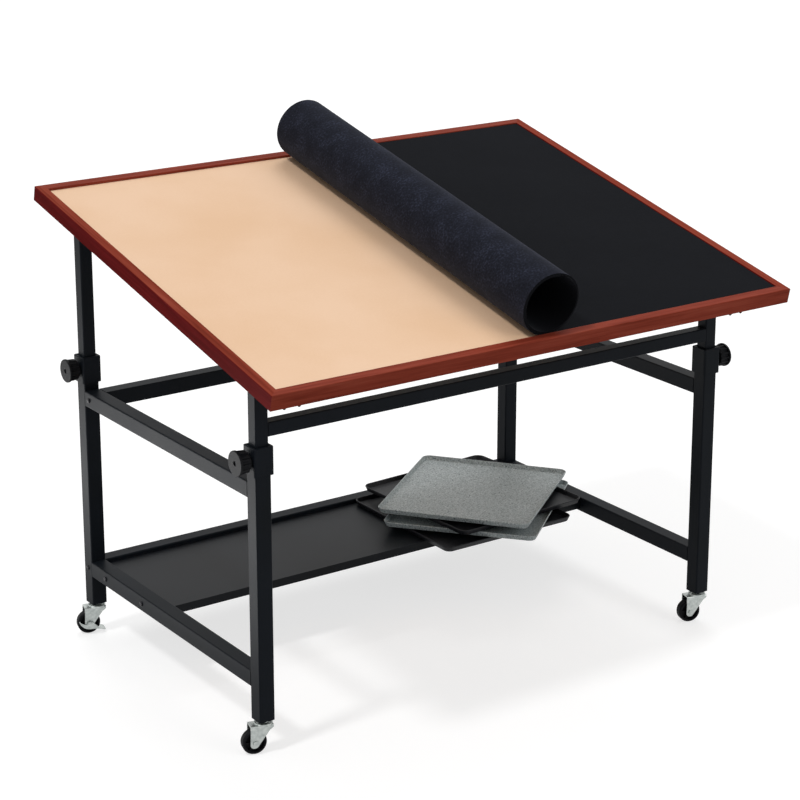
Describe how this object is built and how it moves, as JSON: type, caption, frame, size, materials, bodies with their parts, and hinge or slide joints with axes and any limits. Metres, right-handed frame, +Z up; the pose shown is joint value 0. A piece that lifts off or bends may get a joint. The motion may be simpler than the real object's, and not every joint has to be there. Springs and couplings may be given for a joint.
{
  "type": "jigsaw puzzle table",
  "caption": "Tilting jigsaw puzzle table: framed board with a felt roll-up cover on a height-adjustable steel frame with locking casters, a storage shelf and loose sorting trays.",
  "frame": {"origin": "on the floor under the middle of the bounding box", "axes": "+X along the table's long side to the right, +Y away from the user, +Z up"},
  "size_m": [1.113, 0.8344, 0.9831],
  "materials": {
    "powder_coat": "satin powder coat",
    "black_bolt": "blackened steel",
    "zinc": "zinc-plated",
    "black_plastic": "moulded, satin",
    "rim_wood": "reddish stain, semi-gloss",
    "board_face": "smooth faced fibreboard",
    "batten_wood": "plain",
    "shelf_board": "black, satin",
    "felt": "felt",
    "tray_grey": "speckled, matte",
    "tray_black": "matte"
  },
  "bodies": {
    "frame": {"outer_leg_near_left": "powder_coat", "outer_leg_near_right": "powder_coat", "outer_leg_far_left": "powder_coat", "outer_leg_far_right": "powder_coat", "side_rail_upper_left": "powder_coat", "side_rail_upper_right": "powder_coat", "side_rail_lower_left": "powder_coat", "side_rail_lower_right": "powder_coat", "long_rail_upper": "powder_coat", "long_rail_lower": "powder_coat", "rail_plugs": "black_plastic", "frame_bolts": "black_bolt", "shelf_panel": "shelf_board", "collar_near_left": "powder_coat", "collar_near_right": "powder_coat", "collar_far_left": "powder_coat", "collar_far_right": "powder_coat", "caster_plugs": "black_plastic", "caster_stems": "zinc"},
    "near_inner_frame": {"inner_leg_near_left": "powder_coat", "inner_leg_near_right": "powder_coat", "inner_long_rail_near": "powder_coat", "pivot_bolts_near": "black_bolt"},
    "far_inner_leg_left": {"inner_leg_far_left": "powder_coat", "pivot_bolt_far_left": "black_bolt"},
    "far_inner_leg_right": {"inner_leg_far_right": "powder_coat", "pivot_bolt_far_right": "black_bolt"},
    "tabletop": {"rim_near": "rim_wood", "rim_far": "rim_wood", "rim_left": "rim_wood", "rim_right": "rim_wood", "board_panel": "board_face", "under_batten_left": "batten_wood", "under_batten_right": "batten_wood", "tilt_channel_left": "powder_coat", "tilt_channel_right": "powder_coat", "channel_screws": "black_bolt", "felt_mat": "felt"},
    "knob_near_left": {"clamp_knob_near_left": "black_plastic"},
    "fork_near_left": {"caster_fork_near_left": "zinc", "caster_axle_near_left": "zinc"},
    "wheel_near_left": {"caster_wheel_near_left": "black_plastic"},
    "knob_near_right": {"clamp_knob_near_right": "black_plastic"},
    "fork_near_right": {"caster_fork_near_right": "zinc", "caster_axle_near_right": "zinc"},
    "wheel_near_right": {"caster_wheel_near_right": "black_plastic"},
    "knob_far_left": {"clamp_knob_far_left": "black_plastic"},
    "fork_far_left": {"caster_fork_far_left": "zinc", "caster_axle_far_left": "zinc"},
    "wheel_far_left": {"caster_wheel_far_left": "black_plastic"},
    "brake_left": {"brake_pedal_far_left": "zinc"},
    "knob_far_right": {"clamp_knob_far_right": "black_plastic"},
    "fork_far_right": {"caster_fork_far_right": "zinc", "caster_axle_far_right": "zinc"},
    "wheel_far_right": {"caster_wheel_far_right": "black_plastic"},
    "brake_right": {"brake_pedal_far_right": "zinc"},
    "tray_bottom": {"tray_bottom": "tray_black"},
    "tray_lower": {"tray_lower": "tray_grey"},
    "tray_upper": {"tray_upper": "tray_black"},
    "tray_top": {"tray_top": "tray_grey"}
  },
  "joints": [
    {"name": "height", "type": "slide", "parent": "frame", "child": "near_inner_frame", "axis": [0, 0, 1], "range_m": [-0.012, 0.15]},
    {"name": "tilt", "type": "hinge", "parent": "near_inner_frame", "child": "tabletop", "pos_m": [0, -0.26088, 0.677], "axis": [1, 0, 0], "range_deg": [-12.5, 2.5]},
    {"name": "far_leg_left", "type": "slide", "parent": "near_inner_frame", "child": "far_inner_leg_left", "axis": [0, 0, 1], "range_m": [-0.1365, 0.028]},
    {"name": "far_leg_right", "type": "slide", "parent": "near_inner_frame", "child": "far_inner_leg_right", "axis": [0, 0, 1], "range_m": [-0.1365, 0.028]},
    {"name": "clamp_near_left", "type": "hinge", "parent": "frame", "child": "knob_near_left", "pos_m": [-0.5115, -0.26088, 0.532], "axis": [-1, 0, 0], "continuous": true},
    {"name": "swivel_near_left", "type": "hinge", "parent": "frame", "child": "fork_near_left", "pos_m": [-0.4925, -0.26088, 0.052], "axis": [0, 0, 1], "continuous": true},
    {"name": "roll_near_left", "type": "hinge", "parent": "fork_near_left", "child": "wheel_near_left", "pos_m": [-0.5094, -0.25635, 0.022], "axis": [0.2588, 0.9659, 0], "continuous": true},
    {"name": "clamp_near_right", "type": "hinge", "parent": "frame", "child": "knob_near_right", "pos_m": [0.5115, -0.26088, 0.532], "axis": [1, 0, 0], "continuous": true},
    {"name": "swivel_near_right", "type": "hinge", "parent": "frame", "child": "fork_near_right", "pos_m": [0.4925, -0.26088, 0.052], "axis": [0, 0, 1], "continuous": true},
    {"name": "roll_near_right", "type": "hinge", "parent": "fork_near_right", "child": "wheel_near_right", "pos_m": [0.4756, -0.25635, 0.022], "axis": [0.2588, 0.9659, 0], "continuous": true},
    {"name": "clamp_far_left", "type": "hinge", "parent": "frame", "child": "knob_far_left", "pos_m": [-0.5115, 0.35312, 0.532], "axis": [-1, 0, 0], "continuous": true},
    {"name": "swivel_far_left", "type": "hinge", "parent": "frame", "child": "fork_far_left", "pos_m": [-0.4925, 0.35312, 0.052], "axis": [0, 0, 1], "continuous": true},
    {"name": "roll_far_left", "type": "hinge", "parent": "fork_far_left", "child": "wheel_far_left", "pos_m": [-0.5094, 0.35765, 0.022], "axis": [0.2588, 0.9659, 0], "continuous": true},
    {"name": "brake_left", "type": "hinge", "parent": "fork_far_left", "child": "brake_left", "pos_m": [-0.5094, 0.35765, 0.022], "axis": [0.2588, 0.9659, 0], "range_deg": [0, 8]},
    {"name": "clamp_far_right", "type": "hinge", "parent": "frame", "child": "knob_far_right", "pos_m": [0.5115, 0.35312, 0.532], "axis": [1, 0, 0], "continuous": true},
    {"name": "swivel_far_right", "type": "hinge", "parent": "frame", "child": "fork_far_right", "pos_m": [0.4925, 0.35312, 0.052], "axis": [0, 0, 1], "continuous": true},
    {"name": "roll_far_right", "type": "hinge", "parent": "fork_far_right", "child": "wheel_far_right", "pos_m": [0.4756, 0.35765, 0.022], "axis": [0.2588, 0.9659, 0], "continuous": true},
    {"name": "brake_right", "type": "hinge", "parent": "fork_far_right", "child": "brake_right", "pos_m": [0.4756, 0.35765, 0.022], "axis": [0.2588, 0.9659, 0], "range_deg": [0, 8]},
    {"name": "tray_bottom_out", "type": "slide", "parent": "frame", "child": "tray_bottom", "axis": [0, -1, 0], "range_m": [0, 0.15]},
    {"name": "tray_lower_out", "type": "slide", "parent": "frame", "child": "tray_lower", "axis": [0, -1, 0], "range_m": [0, 0.15]},
    {"name": "tray_upper_out", "type": "slide", "parent": "frame", "child": "tray_upper", "axis": [0, -1, 0], "range_m": [0, 0.15]},
    {"name": "tray_top_out", "type": "slide", "parent": "frame", "child": "tray_top", "axis": [0, -1, 0], "range_m": [0, 0.15]}
  ],
  "couplings": [
    {"joint": "far_leg_left", "follows": "tilt", "m_per_rad": 0.62393},
    {"joint": "far_leg_right", "follows": "tilt", "m_per_rad": 0.62393}
  ]
}
